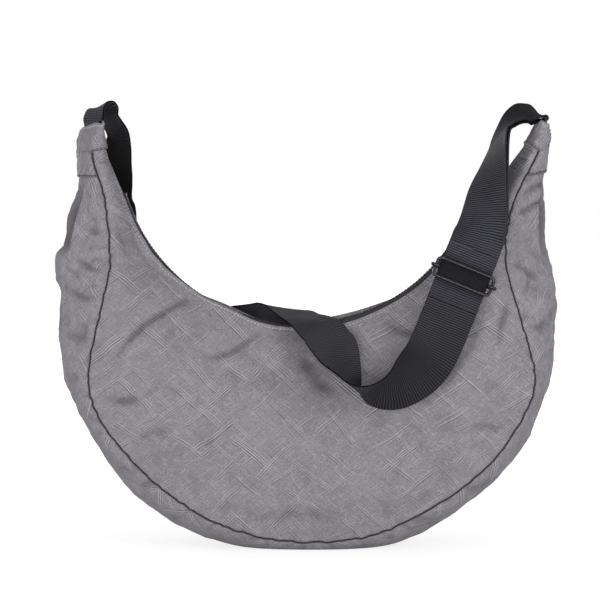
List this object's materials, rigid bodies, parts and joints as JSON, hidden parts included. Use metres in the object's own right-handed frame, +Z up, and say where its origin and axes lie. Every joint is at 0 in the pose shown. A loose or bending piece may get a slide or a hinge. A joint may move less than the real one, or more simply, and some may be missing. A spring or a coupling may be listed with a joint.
{
  "type": "half moon sling bag",
  "caption": "Crescent-shaped nylon sling bag with a zip along its curved mouth, a wide webbing shoulder strap draped over the front and a wire strap adjuster.",
  "frame": {"origin": "middle of the flat underside that the bag stands on", "axes": "+X to the right of the front, +Y from the front to the back, +Z up"},
  "size_m": [0.4608, 0.171, 0.4111],
  "materials": {
    "nylon": "matt crinkled nylon",
    "lining": "black lining cloth",
    "piping": "black piping",
    "webbing": "dark grey webbing with a soft sheen",
    "black_metal": "satin black",
    "zip_tape": "black woven tape",
    "zip_teeth": "black"
  },
  "bodies": {
    "bag": {"back_lining": "lining", "back_panel": "nylon", "back_piping": "piping", "front_lining": "lining", "front_panel": "nylon", "front_piping": "piping", "gusset": "nylon", "gusset_lining": "lining", "left_collar": "nylon", "left_gusset_facing": "nylon", "right_collar": "nylon", "right_gusset_facing": "nylon", "right_ring": "black_metal", "right_ring_tab": "webbing", "shoulder_strap": "webbing", "zip_bottom_stop": "black_metal", "zip_tape_back": "zip_tape", "zip_tape_front": "zip_tape", "zip_teeth_back": "zip_teeth", "zip_teeth_front": "zip_teeth", "zip_top_stop": "black_metal"},
    "zip_slider": {"zip_slider": "black_metal"},
    "zip_pull": {"zip_pull": "black_metal"},
    "adjuster": {"adjuster_frame": "black_metal", "adjuster_centre_bar": "black_metal", "strap_end_loop": "webbing"}
  },
  "joints": [
    {"name": "zip_slide", "type": "hinge", "parent": "bag", "child": "zip_slider", "pos_m": [-0.00372, 0, 0.36946], "axis": [0, 1, 0], "range_deg": [0, 138]},
    {"name": "pull_swing", "type": "hinge", "parent": "zip_slider", "child": "zip_pull", "pos_m": [0.14825, 0, 0.30781], "axis": [0, 1, 0], "range_deg": [0, 175]},
    {"name": "adjuster_slide", "type": "slide", "parent": "bag", "child": "adjuster", "axis": [-0.3764, -0.1424, -0.9155], "range_m": [-0.003, 0.008]}
  ]
}
